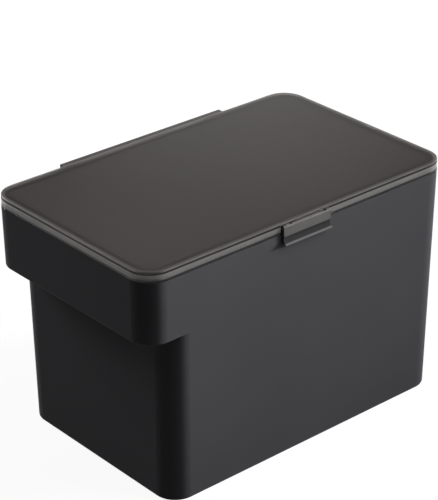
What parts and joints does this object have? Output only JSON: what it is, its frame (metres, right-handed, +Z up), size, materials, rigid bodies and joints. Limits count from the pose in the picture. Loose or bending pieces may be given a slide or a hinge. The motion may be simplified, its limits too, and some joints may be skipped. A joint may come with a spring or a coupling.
{
  "type": "pet food storage container",
  "caption": "Rectangular dry pet food keeper with a hinged smoke lid, flip latch, gasket, a grip overhang at one end and a clear measuring cup.",
  "frame": {"origin": "on the floor, under the middle of the lid; the flat bottom of the container rests there", "axes": "+X along the long side, with the overhang at -X; -Y is the front with the latch; +Y is the back with the hinge; +Z up"},
  "size_m": [0.28, 0.1825, 0.187],
  "materials": {
    "charcoal_body": "satin",
    "smoke_lid": "satin, smoke translucent",
    "smoke_latch": "satin",
    "gasket_rubber": "matte",
    "pin_steel": "brushed",
    "clear_cup": "clear"
  },
  "bodies": {
    "container": {"container_body": "charcoal_body", "hinge_pin_left": "pin_steel", "hinge_pin_right": "pin_steel"},
    "lid": {"lid": "smoke_lid", "lid_gasket": "gasket_rubber", "latch_pin": "pin_steel"},
    "latch": {"latch": "smoke_latch"},
    "cup": {"measuring_cup": "clear_cup"}
  },
  "joints": [
    {"name": "lid_hinge", "type": "hinge", "parent": "container", "child": "lid", "pos_m": [0, 0.0886, 0.1815], "axis": [-1, 0, 0], "range_deg": [0, 105]},
    {"name": "latch_flip", "type": "hinge", "parent": "lid", "child": "latch", "pos_m": [0, -0.0863, 0.1835], "axis": [-1, 0, 0], "range_deg": [0, 90]},
    {"name": "cup_lift", "type": "slide", "parent": "container", "child": "cup", "axis": [0, 0, 1], "range_m": [0, 0.085]}
  ]
}
